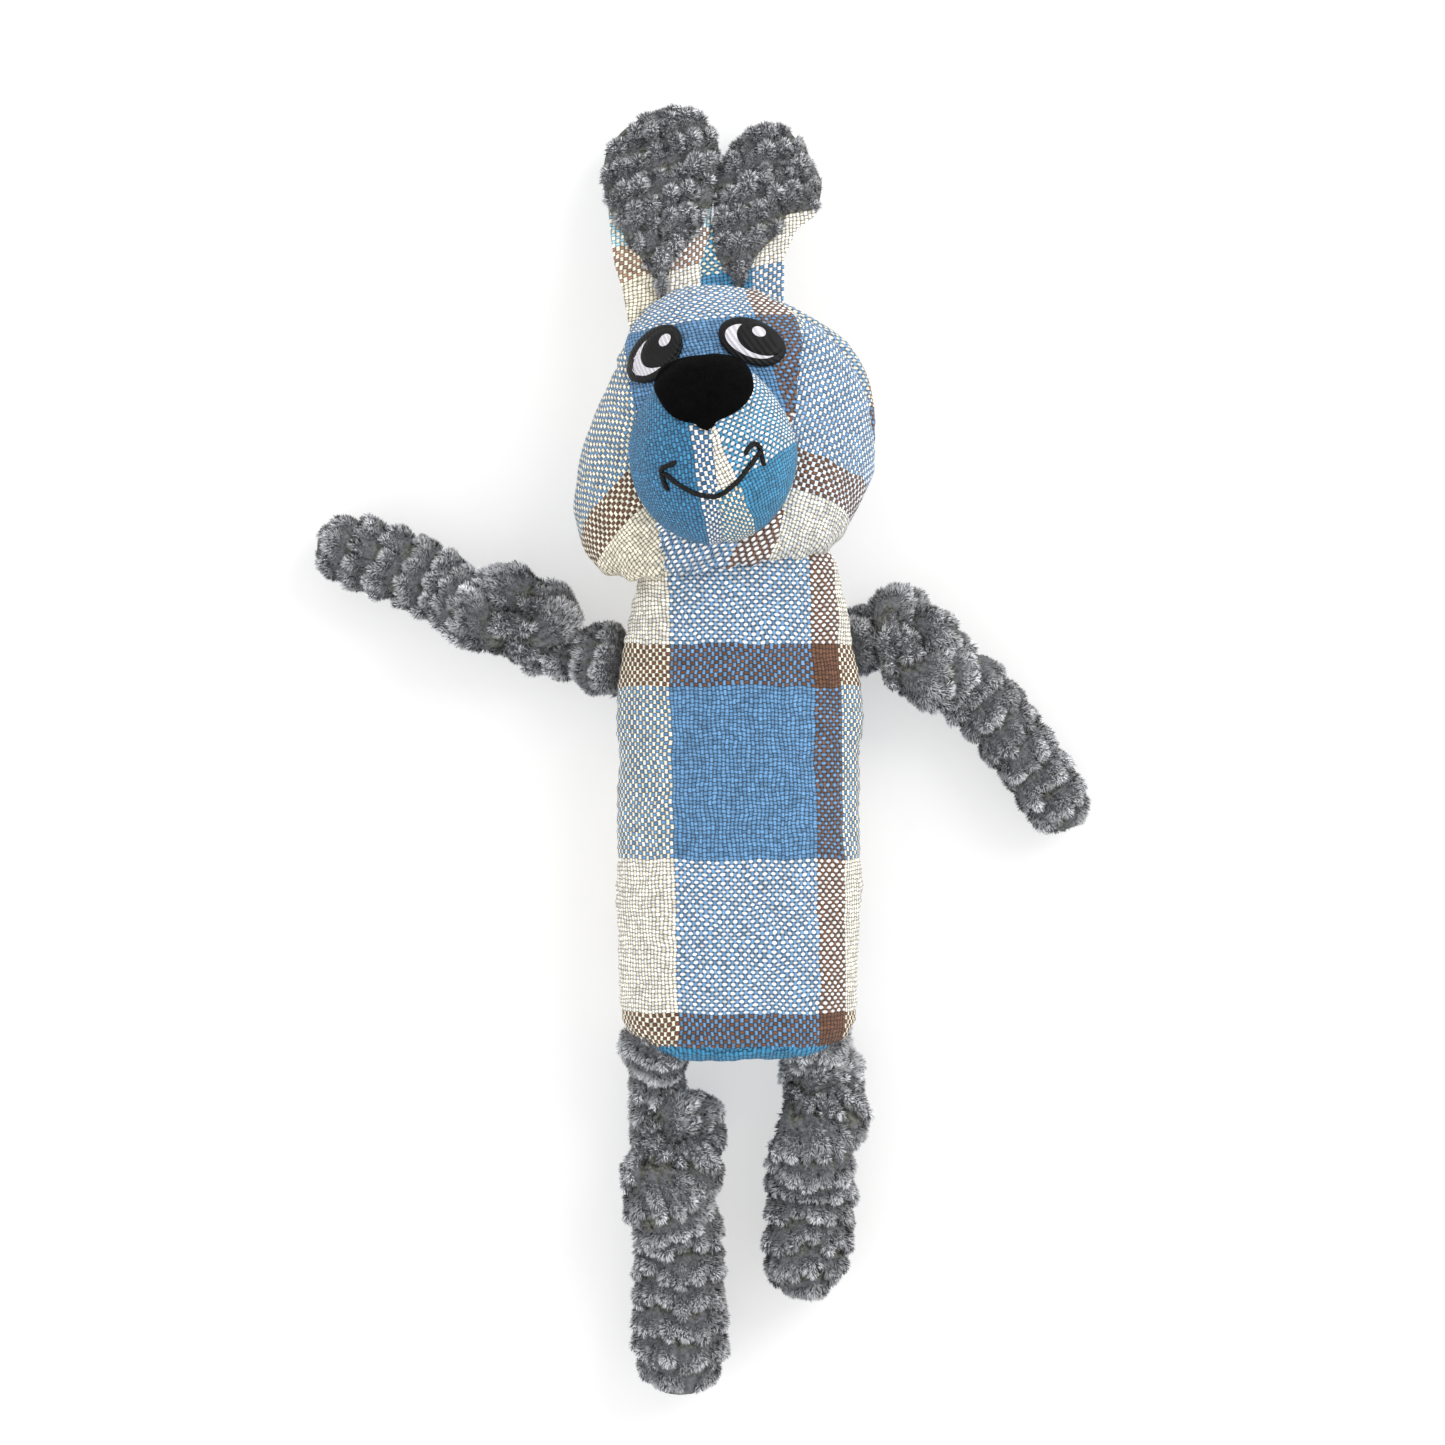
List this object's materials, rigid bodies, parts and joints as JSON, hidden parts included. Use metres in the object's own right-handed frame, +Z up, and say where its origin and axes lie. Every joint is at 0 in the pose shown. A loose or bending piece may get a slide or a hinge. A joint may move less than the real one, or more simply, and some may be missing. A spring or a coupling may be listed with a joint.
{
  "type": "stuffed bunny rabbit",
  "caption": "Plush bunny dog toy in plaid cloth lying on its back, with a domed muzzle, floppy plush-faced ears, and grey plush limbs that are each tied in a knot.",
  "frame": {"origin": "middle of the torso's flat back, on the surface that the toy lies on", "axes": "+X to the right as seen looking down on the face, +Y from the feet to the ears, +Z up out of the face, away from the surface"},
  "size_m": [0.2434, 0.4084, 0.0901],
  "materials": {
    "plaid_cotton": "plain-woven cotton with thick blue, brown and cream threads, matt",
    "cream_plaid_cotton": "the same woven cotton where its cream and light blue threads cross, matt",
    "teal_plaid_cotton": "the same woven cotton where its teal threads cross, matt",
    "grey_corduroy_plush": "thick ribbed plush pile on an olive-grey knit, matt",
    "black_plush": "short black pile, matt",
    "black_thread": "satin-stitched embroidery, slight sheen",
    "white_thread": "satin-stitched embroidery, slight sheen",
    "fibre_filling": "loose polyester fibre, hidden",
    "squeaker_plastic": "thin moulded plastic, hidden"
  },
  "bodies": {
    "torso": {"torso_front_panel": "plaid_cotton", "torso_back_panel": "cream_plaid_cotton", "torso_base_panel": "teal_plaid_cotton", "torso_front_filling": "fibre_filling", "torso_back_filling": "fibre_filling", "squeaker_bulb": "squeaker_plastic", "squeaker_reed": "squeaker_plastic"},
    "neck": {"neck_gather": "plaid_cotton"},
    "head": {"head_face_panel": "plaid_cotton", "head_left_cheek_panel": "plaid_cotton", "head_right_cheek_panel": "plaid_cotton", "head_back_panel": "cream_plaid_cotton", "head_filling": "fibre_filling", "muzzle_left_panel": "teal_plaid_cotton", "muzzle_right_panel": "teal_plaid_cotton", "muzzle_filling": "fibre_filling", "nose_patch": "black_plush", "mouth_stitching": "black_thread", "left_eye_patch": "black_thread", "left_eye_white": "white_thread", "left_eye_glint": "white_thread", "right_eye_patch": "black_thread", "right_eye_white": "white_thread", "right_eye_glint": "white_thread", "left_ear_fold": "cream_plaid_cotton", "right_ear_fold": "cream_plaid_cotton"},
    "left_ear": {"left_ear_plush_front": "grey_corduroy_plush", "left_ear_plaid_back": "cream_plaid_cotton"},
    "right_ear": {"right_ear_plush_front": "grey_corduroy_plush", "right_ear_plaid_back": "cream_plaid_cotton"},
    "left_arm_seam": {"left_arm_seam_gather": "grey_corduroy_plush"},
    "left_arm_upper": {"left_arm_upper_sleeve": "grey_corduroy_plush", "left_arm_knot": "grey_corduroy_plush"},
    "left_arm_lower": {"left_arm_lower_sleeve": "grey_corduroy_plush", "left_arm_lower_filling": "fibre_filling"},
    "right_arm_seam": {"right_arm_seam_gather": "grey_corduroy_plush"},
    "right_arm_upper": {"right_arm_knot": "grey_corduroy_plush"},
    "right_arm_lower": {"right_arm_lower_sleeve": "grey_corduroy_plush", "right_arm_lower_filling": "fibre_filling"},
    "left_leg_seam": {"left_leg_seam_gather": "grey_corduroy_plush"},
    "left_leg_upper": {"left_leg_upper_sleeve": "grey_corduroy_plush", "left_leg_knot": "grey_corduroy_plush"},
    "left_leg_lower": {"left_leg_lower_sleeve": "grey_corduroy_plush", "left_leg_lower_filling": "fibre_filling"},
    "right_leg_seam": {"right_leg_seam_gather": "grey_corduroy_plush"},
    "right_leg_upper": {"right_leg_knot": "grey_corduroy_plush"},
    "right_leg_lower": {"right_leg_lower_sleeve": "grey_corduroy_plush", "right_leg_lower_filling": "fibre_filling"}
  },
  "joints": [
    {"name": "neck_nod", "type": "hinge", "parent": "torso", "child": "neck", "pos_m": [-0.004, 0.075, 0.024], "axis": [1, 0, 0], "range_deg": [0, 25]},
    {"name": "head_turn", "type": "hinge", "parent": "neck", "child": "head", "pos_m": [-0.004, 0.075, 0.024], "axis": [-0.1132, 0.9936, 0], "range_deg": [-25, 25]},
    {"name": "left_ear_flop", "type": "hinge", "parent": "head", "child": "left_ear", "pos_m": [-0.02643, 0.16585, 0.032], "axis": [0.999, 0.0436, 0], "range_deg": [0, 70]},
    {"name": "right_ear_flop", "type": "hinge", "parent": "head", "child": "right_ear", "pos_m": [0.00408, 0.16751, 0.032], "axis": [0.989, -0.1478, 0], "range_deg": [0, 70]},
    {"name": "left_arm_lift", "type": "hinge", "parent": "torso", "child": "left_arm_seam", "pos_m": [-0.04, 0.05, 0.016], "axis": [0, 1, 0], "range_deg": [0, 45]},
    {"name": "left_arm_swing", "type": "hinge", "parent": "left_arm_seam", "child": "left_arm_upper", "pos_m": [-0.04, 0.05, 0.016], "axis": [0, 0, 1], "range_deg": [-20, 50]},
    {"name": "left_arm_bend", "type": "hinge", "parent": "left_arm_upper", "child": "left_arm_lower", "pos_m": [-0.069, 0.061, 0.0149], "axis": [0, 0, 1], "range_deg": [-20, 60]},
    {"name": "right_arm_lift", "type": "hinge", "parent": "torso", "child": "right_arm_seam", "pos_m": [0.038, 0.053, 0.016], "axis": [0, -1, 0], "range_deg": [0, 35]},
    {"name": "right_arm_swing", "type": "hinge", "parent": "right_arm_seam", "child": "right_arm_upper", "pos_m": [0.038, 0.053, 0.016], "axis": [0, 0, 1], "range_deg": [-25, 35]},
    {"name": "right_arm_bend", "type": "hinge", "parent": "right_arm_upper", "child": "right_arm_lower", "pos_m": [0.057, 0.053, 0.0144], "axis": [0, 0, 1], "range_deg": [-12, 90]},
    {"name": "left_leg_lift", "type": "hinge", "parent": "torso", "child": "left_leg_seam", "pos_m": [-0.026, -0.0745, 0.017], "axis": [-1, 0, 0], "range_deg": [0, 35]},
    {"name": "left_leg_swing", "type": "hinge", "parent": "left_leg_seam", "child": "left_leg_upper", "pos_m": [-0.026, -0.0745, 0.017], "axis": [0, 0, 1], "range_deg": [-45, 6]},
    {"name": "left_leg_bend", "type": "hinge", "parent": "left_leg_upper", "child": "left_leg_lower", "pos_m": [-0.021, -0.103, 0.0154], "axis": [0, 0, 1], "range_deg": [-60, 6]},
    {"name": "right_leg_lift", "type": "hinge", "parent": "torso", "child": "right_leg_seam", "pos_m": [0.0255, -0.0745, 0.017], "axis": [-1, 0, 0], "range_deg": [0, 35]},
    {"name": "right_leg_swing", "type": "hinge", "parent": "right_leg_seam", "child": "right_leg_upper", "pos_m": [0.0255, -0.0745, 0.017], "axis": [0, 0, 1], "range_deg": [-6, 30]},
    {"name": "right_leg_bend", "type": "hinge", "parent": "right_leg_upper", "child": "right_leg_lower", "pos_m": [0.024, -0.093, 0.0144], "axis": [0, 0, 1], "range_deg": [-8, 60]}
  ]
}
